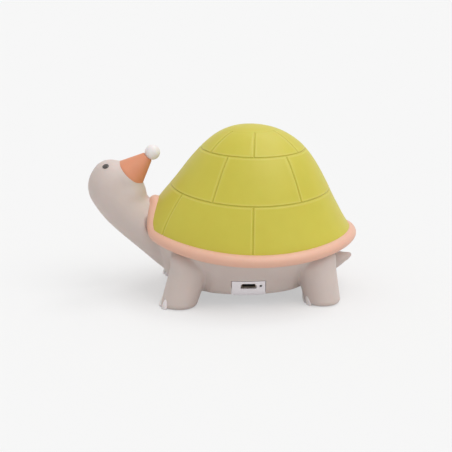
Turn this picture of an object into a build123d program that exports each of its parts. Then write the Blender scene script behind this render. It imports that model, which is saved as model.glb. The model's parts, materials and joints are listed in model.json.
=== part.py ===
"""Turtle night light: a soft vinyl tortoise with a lamp module in its belly.

The turtle faces -X and stands on its four soles at z = 0. Sizes are in millimetres.
"""
import math
import os

from build123d import *

os.makedirs("parts", exist_ok=True)

# Whole object
overall_length = 141.2
overall_height = 90.2
fit_gap = 0.12
running_gap = 0.15
snug_gap = 0.03
join_tolerance = 0.001

# Shell: plan size, height of the seam at its front end, middle and rear end, arch over the neck
shell_length = 113.0
shell_width = 98.0
seam_front = 37.0
seam_middle = 28.6
seam_rear = 33.2
arch_rise = 12.4
arch_half_width = 17.5
arch_set_back = 2.2
shell_x = overall_length / 2 - shell_length / 2

# Rim bead
rim_bead_width = 8.0
rim_bead_height = 6.4
rim_stations = 25

# Dome: rows of height, front reach, rear reach and side reach, from the skirt up
dome_set_back = 3.6
dome_wall = 2.2
dome_skirt_drop = 1.0
groove_width = 0.9
groove_depth = 0.8
dome_row_shares = (
    (0.000, 1.090, 1.040, 1.010),
    (0.100, 1.060, 0.998, 0.972),
    (0.200, 1.022, 0.946, 0.926),
    (0.300, 0.965, 0.886, 0.876),
    (0.400, 0.893, 0.826, 0.820),
    (0.500, 0.800, 0.770, 0.757),
    (0.600, 0.708, 0.710, 0.688),
    (0.690, 0.626, 0.648, 0.618),
    (0.770, 0.546, 0.580, 0.544),
    (0.840, 0.463, 0.499, 0.462),
    (0.900, 0.373, 0.402, 0.371),
    (0.950, 0.266, 0.283, 0.263),
    (0.984, 0.150, 0.152, 0.144),
    (0.998, 0.040, 0.040, 0.038),
)
# Scute grooves: heights at front, middle and rear; bearings are from the turtle's left side
crown_groove_width = 0.4
crown_groove_shares = (0.9649, 0.9585, 0.9649)
upper_groove_shares = (0.8291, 0.7891, 0.8051)
lower_groove_shares = (0.5336, 0.4297, 0.4776)
top_band_bearings = (0.0, 60.0, 120.0)
middle_band_bearings = (35.0, 90.0, 145.0)
lower_band_bearings = (0.0, 62.0, 118.0)

# Torso: rows of height, centre, half length and half width, from the belly up
belly_height = 6.7
belly_wall = 3.0
belly_edge_round = 2.0
torso_top = 46.0
torso_half_length = 50.0
torso_half_width = 44.2
torso_lean = 3.5
torso_row_shares = (
    (0.00, 1.00, 0.735, 0.715),
    (0.06, 0.95, 0.790, 0.756),
    (0.18, 0.85, 0.845, 0.800),
    (0.33, 0.60, 0.905, 0.873),
    (0.48, 0.20, 0.960, 0.950),
    (0.65, 0.00, 0.995, 0.990),
    (1.00, 0.00, 1.020, 1.015),
)

# Neck and head: rows of reach, height and radius as shares of the head centre's place and radius
head_radius = 10.2
head_height = 62.1
head_set_back = 11.75
head_x = head_set_back - overall_length / 2
neck_row_shares = (
    (0.360, 0.385, 1.470),
    (0.482, 0.457, 1.375),
    (0.664, 0.586, 1.275),
    (0.826, 0.705, 1.200),
    (0.944, 0.830, 1.190),
    (1.000, 0.920, 1.150),
    (1.000, 1.000, 1.000),
)

# Legs: reach of each sole from the shell's middle, how far the hip leans in from it, radii
front_sole_reach = 35.7
front_sole_y = 31.0
front_lean_x = 3.6
front_lean_y = 5.4
rear_sole_reach = 37.5
rear_sole_y = 24.6
rear_lean_x = 1.7
rear_lean_y = 3.0
hip_height = 20.0
sole_radius = 9.4
ankle_radius = 9.6
hip_radius = 10.4
sole_round = 2.4
ankle_height_share = 0.25

# Tail: reach of its root and its tip from the shell's middle
tail_root_reach = 35.9
tail_tip_reach = 53.5
tail_height = 17.4
tail_lift = 0.8
tail_root_radius = 6.0
tail_tip_radius = 2.3

# Claws: three to a foot, round its front
claw_width = 3.4
claw_height = 5.2
claw_sink = 1.15
claw_lift = 3.4
claw_bearings = (-36.0, 0.0, 36.0)
claw_belly_share = 0.16

# Eyes
eye_length = 2.9
eye_height = 2.3
eye_proud = 0.75
eye_bearing = 96.0
eye_elevation = 55.0
eye_peg_radius = 0.6
eye_peg_length = 2.4

# Hat
hat_base_radius = 7.9
hat_tip_radius = 2.3
hat_length = 13.0
hat_sink = 4.6
hat_pitch = 44.8
hat_set_back = 10.25
hat_lift = 2.0
hat_peg_radius = 2.2
hat_peg_length = 4.0
pompom_radius = 3.2
pompom_set = 2.6
pompom_peg_radius = 1.0
pompom_peg_length = 3.0

# Module in the belly: opening in the vinyl, lip below it, flange above it
module_set_forward = 2.5
opening_length = 50.0
opening_width = 38.0
opening_corner = 8.0
lip_width = 1.4
lip_thickness = 0.8
flange_width = 2.2
flange_thickness = 1.4
module_floor = 1.5
module_wall = 1.6
module_top = 25.0

# Port panel on the left side
panel_offset = 2.0
panel_width = 17.2
panel_top = 15.2
panel_gap = 0.25
panel_wall = 1.8
port_width = 8.1
port_height = 3.0
port_chamfer = 0.9
port_z = 12.3
indicator_offset = 6.3
indicator_radius = 0.6

# Main board and what it carries
board_length = 40.0
board_width = 19.0
board_thickness = 1.6
board_corner = 1.8
board_nose_width = 13.6
board_nose_reach = 12.0
board_hole_pitch_x = 33.0
board_hole_pitch_y = 13.0
board_boss_radius = 2.4
socket_width = 7.5
socket_height = 2.45
socket_depth = 5.4
socket_sheet = 0.28
socket_overhang = 1.6
tongue_width = 3.9
tongue_thickness = 0.65
tongue_set_back = 0.9
tongue_root = 1.2
tongue_lift = 0.8
chip_sizes = ((5.0, 4.0, 1.2), (3.0, 3.0, 1.0), (4.2, 4.2, 2.2))
chip_corner = 0.6
chip_place_shares = ((-0.22, 0.05), (0.02, -0.22), (0.16, 0.18))
indicator_lamp_size = 1.6
indicator_pipe_length = 3.6

# Push button and tactile switch
button_offset = 10.0
button_radius = 3.6
button_proud = 0.5
button_flange_width = 1.2
button_flange_thickness = 0.7
button_dish_depth = 0.35
button_edge_round = 0.35
dish_taper = 45.0
button_travel = 0.6
switch_width = 6.0
switch_corner = 0.7
switch_gap = 0.2
plunger_radius = 1.7
plunger_length = 1.5
plunger_bore_depth = 1.8

# Fasteners
screw_radius = 0.9
screw_head_radius = 1.8
screw_head_height = 1.1
screw_length = 6.0
board_screw_length = 4.5
recess_radius = 0.7
recess_sides = 6
recess_depth = 0.6

# Cover, cell, lamp and diffuser
cover_thickness = 2.0
post_radius = 2.8
post_pitch_x = 38.0
post_pitch_y = 26.0
cell_offset = 2.0
cell_length = 27.0
cell_width = 26.0
cell_thickness = 6.4
cell_corner = 1.4
cell_tape = 1.0
lamp_board_radius = 13.0
lamp_board_thickness = 1.2
lamp_count = 6
lamp_circle_radius = 7.5
lamp_length = 3.5
lamp_width = 2.8
lamp_thickness = 0.9
lamp_screw_pitch = 21.0
lamp_screw_length = 2.8
diffuser_radius = 17.0
diffuser_height = 11.0
diffuser_wall = 1.4
diffuser_skirt = 2.6
ring_wall = 1.4
ring_height = 2.2
lead_radius = 0.6
lead_spacing = 2.2
lead_slot_margin = 0.5
lead_standoff = 1.6
lead_bend = 1.0

# Values worked out from the sizes above
front_sole_x = shell_x - front_sole_reach
rear_sole_x = shell_x + rear_sole_reach
front_hip = (front_sole_x + front_lean_x, front_sole_y - front_lean_y)
rear_hip = (rear_sole_x - rear_lean_x, rear_sole_y - rear_lean_y)
tail_root_x = shell_x + tail_root_reach
tail_tip_x = shell_x + tail_tip_reach
hat_x = head_x + hat_set_back
hat_z = head_height + hat_lift
module_x = shell_x - module_set_forward
panel_x = module_x + panel_offset
button_x = module_x + button_offset
dome_half_length = shell_length / 2 - dome_set_back
dome_half_width = shell_width / 2 - dome_set_back
dome_low = seam_middle - dome_skirt_drop
dome_rise = overall_height - dome_low
floor_top = belly_height + module_floor
board_low = port_z + socket_height / 2
board_top = board_low + board_thickness
cover_top = module_top + cover_thickness
lip_top = belly_height + lip_thickness
flange_low = belly_height + belly_wall + fit_gap
flange_top = flange_low + flange_thickness


class LengthwiseArc:
    """Circular arc along the shell, seen from the side, through three heights of the shell."""

    def __init__(self, front, middle, rear):
        half = shell_length / 2
        front_rise = front - middle
        rear_rise = rear - middle
        drop = (2 * half**2 + front_rise**2 + rear_rise**2) / (2 * (front_rise + rear_rise))
        shift = (2 * drop * front_rise - half**2 - front_rise**2) / (2 * half)
        self.centre_x = shell_x + shift
        self.centre_z = middle + drop
        self.radius = math.hypot(shift, drop)

    def height(self, x, rise=0):
        """Return the arc's height at x, moved up by rise."""
        return self.centre_z - math.sqrt(self.radius**2 - (x - self.centre_x) ** 2) + rise


seam = LengthwiseArc(seam_front, seam_middle, seam_rear)
crown_groove, upper_groove, lower_groove = [
    LengthwiseArc(*[dome_low + dome_rise * share for share in shares])
    for shares in (crown_groove_shares, upper_groove_shares, lower_groove_shares)
]


def curved_band(lower, low_rise, upper, high_rise):
    """Return the solid between two lengthwise arcs, each moved up by its rise."""
    reach = shell_length / 2 + rim_bead_width
    places = (shell_x - reach, shell_x, shell_x + reach)
    low_points = [(x, lower.height(x, low_rise)) for x in places]
    high_points = [(x, upper.height(x, high_rise)) for x in places]
    with BuildPart(mode=Mode.PRIVATE) as band:
        with BuildSketch(Plane.XZ):
            with BuildLine():
                ThreePointArc(*low_points)
                Line(low_points[-1], high_points[-1])
                ThreePointArc(*high_points)
                Line(high_points[0], low_points[0])
            make_face()
        extrude(amount=shell_width, both=True)
    return band.part


def dome_form(inset):
    """Return the solid bell of the dome, drawn in by inset at its side."""
    scale_share = 1 - inset / dome_half_width
    with BuildPart(mode=Mode.PRIVATE) as form:
        for height_share, front_share, rear_share, side_share in dome_row_shares:
            front = dome_half_length * front_share * scale_share
            rear = dome_half_length * rear_share * scale_share
            side = dome_half_width * side_share * scale_share
            height = dome_low + dome_rise * height_share * scale_share
            with BuildSketch(Plane((shell_x + (rear - front) / 2, 0, height))):
                Ellipse((front + rear) / 2, side)
        loft()
    return form.part


def bead_centre(angle):
    """Return the rim's centre line at an angle from its rear end, arched over the neck."""
    x = shell_x + (shell_length / 2 - rim_bead_width / 2) * math.cos(angle)
    y = (shell_width / 2 - rim_bead_width / 2) * math.sin(angle)
    height = seam.height(x)
    if x < shell_x and abs(y) < arch_half_width:
        arch_share = (1 - (y / arch_half_width) ** 2) ** 2
        x += arch_set_back * arch_share
        height += arch_rise * arch_share
    return Vector(x, y, height)


def bead_form(grow):
    """Return the bead that runs round the seam, fatter than the rim by grow on all sides."""
    step = math.pi / (rim_stations - 1)
    with BuildPart(mode=Mode.PRIVATE) as form:
        for station in range(rim_stations):
            angle = step * station
            run = bead_centre(angle + step / 2) - bead_centre(angle - step / 2)
            section = Plane(bead_centre(angle), x_dir=(run.Y, -run.X, 0), z_dir=run)
            with BuildSketch(section):
                Ellipse(rim_bead_width / 2 + grow, rim_bead_height / 2 + grow)
        loft()
    half = form.part
    return half.fuse(half.mirror(Plane.XZ), tol=join_tolerance)


def torso_form(inset, floor):
    """Return the solid bowl of the torso, drawn in by inset, with its bottom at floor."""
    with BuildPart(mode=Mode.PRIVATE) as form:
        for height_share, lean_share, length_share, width_share in torso_row_shares:
            height = floor + (torso_top - floor) * height_share
            with BuildSketch(Plane((shell_x - torso_lean * lean_share, 0, height))):
                Ellipse(torso_half_length * length_share - inset, torso_half_width * width_share - inset)
        loft()
    return form.part


def leg_form(sole, hip, grow):
    """Return a leg that leans in from its sole to its hip, fatter by grow."""
    ankle = sole + (hip - sole) * ankle_height_share
    with BuildPart(mode=Mode.PRIVATE) as form:
        for centre, radius in ((sole, sole_radius), (ankle, ankle_radius), (hip, hip_radius)):
            with BuildSketch(Plane(centre)):
                Circle(radius + grow)
        loft()
        fillet(form.edges().group_by(Axis.Z)[0], sole_round)
    return form.part


def peg(plane, radius, depth):
    """Return a round peg that runs from the plane's origin against its normal."""
    with BuildPart(mode=Mode.PRIVATE) as form:
        with BuildSketch(plane):
            Circle(radius)
        extrude(amount=-depth)
    return form.part


def grid_places(x, pitch_x, pitch_y):
    """Return the four corner places of a grid centred at x on the middle plane."""
    return [(x + end * pitch_x / 2, side * pitch_y / 2) for end in (-1, 1) for side in (-1, 1)]


def screw_group(places, head_low, length):
    """Return pan-head screws that stand point down, with the head's underside at head_low."""
    with BuildPart(mode=Mode.PRIVATE) as group:
        for x, y in places:
            with BuildSketch(Plane((x, y, head_low))):
                Circle(screw_head_radius)
            extrude(amount=screw_head_height)
            with BuildSketch(Plane((x, y, head_low))):
                Circle(screw_radius)
            extrude(amount=-length)
            with BuildSketch(Plane((x, y, head_low + screw_head_height))):
                RegularPolygon(recess_radius, recess_sides)
            extrude(amount=-recess_depth, mode=Mode.SUBTRACT)
    return group.part


def finish_piece(piece, name):
    """Label a finished piece and write it to its own file."""
    piece.label = name
    export_step(piece, f"parts/{name}.step")


# Shared forms
dome_outer = dome_form(0)
torso_outer = torso_form(0, belly_height)
bead_room = bead_form(fit_gap)
above_seam = curved_band(seam, 0, seam, overall_height)

# Shell rim: a full bead, held between the dome above and the torso below
with BuildPart() as shell_rim:
    add(bead_form(0))
finish_piece(shell_rim.part, "shell_rim")


# Shell dome: a thin bell that stands on the rim, with scute grooves in its skin
def meridian_cuts(bearings, lower, upper):
    """Return upright plates between two arcs, at bearings to both sides of the left flank."""
    with BuildPart(mode=Mode.PRIVATE) as plates:
        for bearing in bearings:
            for side in (-1, 1):
                turned = Plane((shell_x, 0, 0)).rotated((0, 0, side * bearing - 90))
                with BuildSketch(turned):
                    with Locations((shell_length / 2, 0)):
                        Rectangle(shell_length, groove_width)
                extrude(amount=overall_height)
        add(curved_band(lower, 0, upper, 0), mode=Mode.INTERSECT)
    return plates.part


groove_tools = [
    curved_band(arc, -width / 2, arc, width / 2)
    for arc, width in (
        (crown_groove, crown_groove_width),
        (upper_groove, groove_width),
        (lower_groove, groove_width),
    )
]
groove_tools.append(meridian_cuts(top_band_bearings, upper_groove, crown_groove))
groove_tools.append(meridian_cuts(middle_band_bearings, lower_groove, upper_groove))
groove_tools.append(meridian_cuts(lower_band_bearings, seam, lower_groove))

with BuildPart() as grooves:
    add(groove_tools)
    add(dome_form(groove_depth), mode=Mode.SUBTRACT)

with BuildPart() as shell_dome:
    add(dome_outer)
    add(dome_form(dome_wall), mode=Mode.SUBTRACT)
    add(bead_room, mode=Mode.SUBTRACT)
    add(shell_dome.solids().sort_by(Axis.Z)[-1], mode=Mode.REPLACE)
    add(grooves.part, mode=Mode.SUBTRACT)
finish_piece(shell_dome.part, "shell_dome")

# Places on the head
neck_rows = [
    (head_x * x_share, head_height * z_share, head_radius * radius_share)
    for x_share, z_share, radius_share in neck_row_shares
]
hat_run_x = math.cos(math.radians(hat_pitch))
hat_run_z = math.sin(math.radians(hat_pitch))
hat_seat = Plane((hat_x, 0, hat_z), x_dir=(0, 1, 0), z_dir=(hat_run_x, 0, hat_run_z))
eye_planes = []
for side in (-1, 1):
    eye_turn = Vector(1, 0, 0).rotate(Axis.Y, -eye_elevation).rotate(Axis.Z, side * (180 - eye_bearing))
    eye_seat = Vector(head_x, 0, head_height) + Vector(-eye_turn.X, eye_turn.Y, eye_turn.Z) * head_radius
    eye_out = (-eye_turn.X, eye_turn.Y, eye_turn.Z)
    eye_planes.append(Plane(eye_seat, x_dir=(1, 0, 0), z_dir=eye_out))

# Body: torso, legs, neck, head and tail in one hollow vinyl moulding
leg_places = []
for side in (-1, 1):
    leg_places.append(
        (Vector(front_sole_x, side * front_sole_y, 0), Vector(front_hip[0], side * front_hip[1], hip_height))
    )
    leg_places.append(
        (Vector(rear_sole_x, side * rear_sole_y, 0), Vector(rear_hip[0], side * rear_hip[1], hip_height))
    )

with BuildPart() as neck_form:
    for index, (x, height, radius) in enumerate(neck_rows):
        before = neck_rows[max(index - 1, 0)]
        after = neck_rows[min(index + 1, len(neck_rows) - 1)]
        run = (after[0] - before[0], 0, after[1] - before[1])
        with BuildSketch(Plane((x, 0, height), x_dir=(0, 1, 0), z_dir=run)):
            Circle(radius)
    loft()
    with Locations((head_x, 0, head_height)):
        Sphere(head_radius)

with BuildPart() as tail_form:
    with BuildSketch(Plane((tail_root_x, 0, tail_height), x_dir=(0, 1, 0), z_dir=(1, 0, 0))):
        Circle(tail_root_radius)
    tail_end_x = tail_tip_x - tail_tip_radius
    with BuildSketch(Plane((tail_end_x, 0, tail_height + tail_lift), x_dir=(0, 1, 0), z_dir=(1, 0, 0))):
        Circle(tail_tip_radius)
    loft()
    with Locations((tail_end_x, 0, tail_height + tail_lift)):
        Sphere(tail_tip_radius)

with BuildPart() as shell_room:
    add(dome_form(-fit_gap))
    add(above_seam, mode=Mode.INTERSECT)

with BuildPart() as body_shell:
    add(torso_outer)
    fillet(body_shell.edges().group_by(Axis.Z)[0], belly_edge_round)
    for sole, hip in leg_places:
        add(leg_form(sole, hip, 0))
        with Locations(hip):
            Sphere(hip_radius)
    add(neck_form.part)
    add(tail_form.part)
    add(shell_room.part, mode=Mode.SUBTRACT)
    add(bead_room, mode=Mode.SUBTRACT)
    add(torso_form(belly_wall, belly_height + belly_wall), mode=Mode.SUBTRACT)
    add(body_shell.solids().sort_by(SortBy.VOLUME)[-1], mode=Mode.REPLACE)
    with BuildSketch(Plane((module_x, 0, belly_height))):
        RectangleRounded(
            opening_length + 2 * (lip_width + fit_gap),
            opening_width + 2 * (lip_width + fit_gap),
            opening_corner + lip_width,
        )
    extrude(amount=lip_thickness + fit_gap, mode=Mode.SUBTRACT)
    with BuildSketch(Plane((module_x, 0, belly_height))):
        RectangleRounded(opening_length, opening_width, opening_corner)
    extrude(amount=belly_wall, mode=Mode.SUBTRACT)
    with BuildSketch(Plane((panel_x, -shell_width / 4, belly_height))):
        Rectangle(panel_width + 2 * panel_gap, shell_width / 2)
    extrude(amount=panel_top + panel_gap - belly_height, mode=Mode.SUBTRACT)
    add(peg(hat_seat, hat_peg_radius + fit_gap, hat_peg_length + hat_sink), mode=Mode.SUBTRACT)
    for eye_plane in eye_planes:
        eye_hole = peg(eye_plane.offset(eye_proud), eye_peg_radius + fit_gap, eye_peg_length + eye_height)
        add(eye_hole, mode=Mode.SUBTRACT)
finish_piece(body_shell.part, "body_shell")

# Hat: a cone that fits the back of the head, with a peg into it, and a pompom on its tip
with BuildPart() as head_room:
    with Locations((head_x, 0, head_height)):
        Sphere(head_radius + fit_gap)
    add(neck_form.part)

hat_root = hat_seat.offset(-hat_sink)
hat_top = hat_seat.offset(hat_length)
with BuildPart() as hat_cone:
    with BuildSketch(hat_root):
        Circle(hat_base_radius + (hat_base_radius - hat_tip_radius) * hat_sink / hat_length)
    with BuildSketch(hat_top):
        Circle(hat_tip_radius)
    loft()
    add(head_room.part, mode=Mode.SUBTRACT)
    add(peg(hat_seat, hat_peg_radius, hat_peg_length + hat_sink - fit_gap))
    add(peg(hat_top, pompom_peg_radius + fit_gap, pompom_peg_length), mode=Mode.SUBTRACT)
finish_piece(hat_cone.part, "hat_cone")

pompom_seat = hat_top.offset(pompom_set)
with BuildPart() as hat_pompom:
    with Locations(pompom_seat.origin):
        Sphere(pompom_radius)
    with BuildSketch(hat_top.offset(fit_gap)):
        Circle(pompom_radius)
    extrude(amount=-pompom_radius, mode=Mode.SUBTRACT)
    add(peg(pompom_seat, pompom_peg_radius, pompom_set + pompom_peg_length - fit_gap))
finish_piece(hat_pompom.part, "hat_pompom")

# Eyes: oval beads that lie on the head, each with a stem
for eye_plane, name in zip(eye_planes, ("left_eye", "right_eye")):
    with BuildPart() as eye:
        bead_plane = eye_plane.offset(eye_proud - eye_height / 2)
        with BuildSketch(bead_plane):
            Ellipse(eye_length / 2, eye_height / 2)
            with Locations((0, -eye_height)):
                Rectangle(2 * eye_length, 2 * eye_height, mode=Mode.SUBTRACT)
        revolve(axis=Axis(bead_plane.origin, bead_plane.x_dir))
        with Locations((head_x, 0, head_height)):
            Sphere(head_radius + fit_gap, mode=Mode.SUBTRACT)
        add(peg(eye_plane.offset(eye_proud / 2), eye_peg_radius, eye_peg_length + eye_proud / 2))
    finish_piece(eye.part, name)

# Claws: egg-shaped pads on the front of each foot
with BuildPart() as toe_claws:
    for sole, hip in leg_places:
        centre = sole + (hip - sole) * (claw_lift / hip_height)
        for bearing in claw_bearings:
            out = Vector(-1, 0, 0).rotate(Axis.Z, bearing)
            seat = centre + out * (ankle_radius - claw_sink)
            claw_plane = Plane(seat, x_dir=(0, 0, 1), z_dir=out)
            with BuildSketch(claw_plane):
                with BuildLine():
                    Spline(
                        (-claw_height / 2, 0),
                        (-claw_height * claw_belly_share, claw_width / 2),
                        (claw_height / 2, 0),
                        tangents=((0, 1), (0, -1)),
                    )
                    Line((claw_height / 2, 0), (-claw_height / 2, 0))
                make_face()
            revolve(axis=Axis(claw_plane.origin, claw_plane.x_dir))
    for sole, hip in leg_places:
        add(leg_form(sole, hip, fit_gap), mode=Mode.SUBTRACT)
finish_piece(toe_claws.part, "toe_claws")

# Module base: a tray that the belly's edge grips between lip and flange, with the port panel
port_outline = [
    (-port_width / 2, -port_height / 2),
    (port_width / 2, -port_height / 2),
    (port_width / 2, port_height / 2 - port_chamfer),
    (port_width / 2 - port_chamfer, port_height / 2),
    (-port_width / 2 + port_chamfer, port_height / 2),
    (-port_width / 2, port_height / 2 - port_chamfer),
]
port_plane = Plane((panel_x, -shell_width / 2, port_z), x_dir=(1, 0, 0), z_dir=(0, 1, 0))
tray_length = opening_length - 2 * panel_gap
tray_width = opening_width - 2 * panel_gap
tray_inner_length = tray_length - 2 * module_wall
tray_inner_width = tray_width - 2 * module_wall
post_places = grid_places(module_x, post_pitch_x, post_pitch_y)
board_places = grid_places(module_x, board_hole_pitch_x, board_hole_pitch_y)

with BuildPart() as panel_nose:
    with BuildSketch(Plane((panel_x, -shell_width / 4, belly_height))):
        Rectangle(panel_width, shell_width / 2)
    extrude(amount=panel_top - belly_height)
    add(torso_outer, mode=Mode.INTERSECT)

with BuildPart() as nose_hollow:
    with BuildSketch(Plane((panel_x, -shell_width / 4, floor_top))):
        Rectangle(panel_width - 2 * module_wall, shell_width / 2)
    extrude(amount=panel_top)
    add(torso_form(panel_wall, belly_height), mode=Mode.INTERSECT)

with BuildPart() as module_base:
    for low, high, grow in (
        (belly_height, lip_top, lip_width),
        (lip_top, flange_low, -panel_gap),
        (flange_low, flange_top, flange_width),
        (flange_top, module_top, -panel_gap),
    ):
        with BuildSketch(Plane((module_x, 0, low))):
            RectangleRounded(opening_length + 2 * grow, opening_width + 2 * grow, opening_corner + grow)
        extrude(amount=high - low)
    add(panel_nose.part)
    with BuildSketch(Plane((module_x, 0, floor_top))):
        RectangleRounded(tray_inner_length, tray_inner_width, opening_corner - module_wall)
    extrude(amount=module_top, mode=Mode.SUBTRACT)
    add(nose_hollow.part, mode=Mode.SUBTRACT)
    with BuildSketch(port_plane):
        Polygon(*port_outline, align=None)
    extrude(amount=shell_width / 2 - tray_width / 2, mode=Mode.SUBTRACT)
    with BuildSketch(port_plane):
        with Locations((indicator_offset, 0)):
            Circle(indicator_radius)
    extrude(amount=shell_width / 2 - tray_width / 2, mode=Mode.SUBTRACT)
    for places, radius, top in (
        (board_places, board_boss_radius, board_low),
        (post_places, post_radius, module_top),
    ):
        for x, y in places:
            with BuildSketch(Plane((x, y, floor_top))):
                Circle(radius)
            extrude(amount=top - floor_top)
            with BuildSketch(Plane((x, y, floor_top))):
                Circle(screw_radius + snug_gap)
            extrude(amount=top - floor_top, mode=Mode.SUBTRACT)
    with BuildSketch(Plane((button_x, 0, belly_height))):
        Circle(button_radius + running_gap)
    extrude(amount=module_floor, mode=Mode.SUBTRACT)
finish_piece(module_base.part, "module_base")

# Main board, upside down on its bosses, with a nose that reaches towards the panel
nose_reach = tray_width / 2 + board_nose_reach
with BuildPart() as main_board:
    with BuildSketch(Plane((module_x, 0, board_low))):
        RectangleRounded(board_length, board_width, board_corner)
        with Locations((panel_x - module_x, -nose_reach / 2)):
            Rectangle(board_nose_width, nose_reach)
        with Locations(*[(x - module_x, y) for x, y in board_places]):
            Circle(screw_radius + snug_gap, mode=Mode.SUBTRACT)
    extrude(amount=board_thickness)
finish_piece(main_board.part, "main_board")

# Charging socket: a folded steel shell under the board's nose, with a black tongue inside
socket_face = -nose_reach - socket_overhang
socket_plane = Plane((panel_x, socket_face, port_z), x_dir=(1, 0, 0), z_dir=(0, 1, 0))


def socket_outline(inset):
    """Return the socket's outline, drawn in by inset on all sides."""
    half_width = socket_width / 2 - inset
    half_height = socket_height / 2 - inset
    return [
        (-half_width, -half_height),
        (half_width, -half_height),
        (half_width, half_height - port_chamfer),
        (half_width - port_chamfer, half_height),
        (-half_width + port_chamfer, half_height),
        (-half_width, half_height - port_chamfer),
    ]


with BuildPart() as usb_socket:
    with BuildSketch(socket_plane):
        Polygon(*socket_outline(0), align=None)
    extrude(amount=socket_depth)
    with BuildSketch(socket_plane):
        Polygon(*socket_outline(socket_sheet), align=None)
    extrude(amount=socket_depth - socket_sheet, mode=Mode.SUBTRACT)
finish_piece(usb_socket.part, "usb_socket")

tongue_low = tongue_thickness / 2 - socket_height / 2 + tongue_lift
with BuildPart() as usb_tongue:
    with BuildSketch(socket_plane.offset(tongue_set_back)):
        with Locations((0, tongue_low)):
            Rectangle(tongue_width, tongue_thickness)
    extrude(amount=socket_depth - socket_sheet - tongue_set_back)
    with BuildSketch(socket_plane.offset(socket_depth - socket_sheet)):
        Polygon(*socket_outline(socket_sheet + snug_gap), align=None)
    extrude(amount=-tongue_root)
finish_piece(usb_tongue.part, "usb_tongue")

# Charge indicator: a clear pipe in the panel and a small lamp behind it
pipe_x = panel_x + indicator_offset
pipe_inner = Plane((pipe_x, -nose_reach, port_z), x_dir=(1, 0, 0), z_dir=(0, -1, 0))
with BuildPart() as indicator_pipe:
    with BuildSketch(pipe_inner):
        Circle(indicator_radius - snug_gap)
    extrude(amount=indicator_pipe_length)
    add(torso_outer, mode=Mode.INTERSECT)
finish_piece(indicator_pipe.part, "indicator_pipe")

with BuildPart() as indicator_lamp:
    lamp_drop = board_low - port_z + indicator_radius
    with BuildSketch(Plane((pipe_x, indicator_lamp_size / 2 - nose_reach, board_low))):
        Rectangle(indicator_lamp_size / 2, indicator_lamp_size)
    extrude(amount=-lamp_drop)
finish_piece(indicator_lamp.part, "indicator_lamp")

# Chips and coil on the board
with BuildPart() as board_chips:
    for (length, width, height), (x_share, y_share) in zip(chip_sizes, chip_place_shares):
        with BuildSketch(Plane((module_x + board_length * x_share, board_width * y_share, board_top))):
            RectangleRounded(length, width, chip_corner)
        extrude(amount=height)
finish_piece(board_chips.part, "board_chips")

with BuildPart() as board_screws:
    add(screw_group(board_places, board_top, board_screw_length))
finish_piece(board_screws.part, "board_screws")

# Push button in the floor, switch under the board, plunger between them
button_flange_low = floor_top + fit_gap
button_top = button_flange_low + button_flange_thickness
button_low = belly_height - button_proud
switch_low = button_top + button_travel + switch_gap

with BuildPart() as power_button:
    with BuildSketch(Plane((button_x, 0, button_low))):
        Circle(button_radius)
    extrude(amount=button_flange_low - button_low)
    with BuildSketch(Plane((button_x, 0, button_flange_low))):
        Circle(button_radius + button_flange_width)
    extrude(amount=button_flange_thickness)
    fillet(power_button.edges().group_by(Axis.Z)[0], button_edge_round)
    with BuildSketch(Plane((button_x, 0, button_low))):
        Circle(button_radius - button_flange_width)
    extrude(amount=button_dish_depth, taper=dish_taper, mode=Mode.SUBTRACT)
finish_piece(power_button.part, "power_button")

with BuildPart() as tact_switch:
    with BuildSketch(Plane((button_x, 0, switch_low))):
        RectangleRounded(switch_width, switch_width, switch_corner)
    extrude(amount=board_low - switch_low)
    with BuildSketch(Plane((button_x, 0, switch_low))):
        Circle(plunger_radius + running_gap)
    extrude(amount=plunger_bore_depth, mode=Mode.SUBTRACT)
finish_piece(tact_switch.part, "tact_switch")

with BuildPart() as switch_plunger:
    with BuildSketch(Plane((button_x, 0, button_top))):
        Circle(plunger_radius)
    extrude(amount=plunger_length)
finish_piece(switch_plunger.part, "switch_plunger")

# Cell, taped to the underside of the cover
cell_x = module_x + cell_offset
cell_high = module_top - cell_tape
with BuildPart() as battery_cell:
    with BuildSketch(Plane((cell_x, 0, cell_high - cell_thickness))):
        Rectangle(cell_length, cell_width)
    extrude(amount=cell_thickness)
    fillet(battery_cell.edges().filter_by(Axis.X), cell_corner)
finish_piece(battery_cell.part, "battery_cell")

with BuildPart() as battery_tape:
    with BuildSketch(Plane((cell_x, 0, cell_high))):
        Rectangle(cell_length - 2 * cell_corner, cell_width - 2 * cell_corner)
    extrude(amount=cell_tape)
finish_piece(battery_tape.part, "battery_tape")

# Module cover: closes the tray, and carries the lamp board inside a ring for the diffuser
lamp_lead_x = module_x - lamp_board_radius - lead_standoff
lamp_screw_places = [(module_x, side * lamp_screw_pitch / 2) for side in (-1, 1)]
with BuildPart() as module_cover:
    with BuildSketch(Plane((module_x, 0, module_top))):
        RectangleRounded(tray_length, tray_width, opening_corner - panel_gap)
    extrude(amount=cover_thickness)
    with BuildSketch(Plane((module_x, 0, cover_top))):
        Circle(diffuser_radius + fit_gap + ring_wall)
        Circle(diffuser_radius + fit_gap, mode=Mode.SUBTRACT)
    extrude(amount=ring_height)
    with BuildSketch(Plane((module_x, 0, module_top))):
        for x, y in (*post_places, *lamp_screw_places):
            with Locations((x - module_x, y)):
                Circle(screw_radius + snug_gap)
        slot_width = 2 * (lead_radius + lead_slot_margin)
        with Locations((lamp_lead_x - module_x, 0)):
            Rectangle(slot_width, lead_spacing + slot_width)
    extrude(amount=cover_thickness, mode=Mode.SUBTRACT)
finish_piece(module_cover.part, "module_cover")

with BuildPart() as module_screws:
    add(screw_group(post_places, cover_top, screw_length))
finish_piece(module_screws.part, "module_screws")

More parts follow.
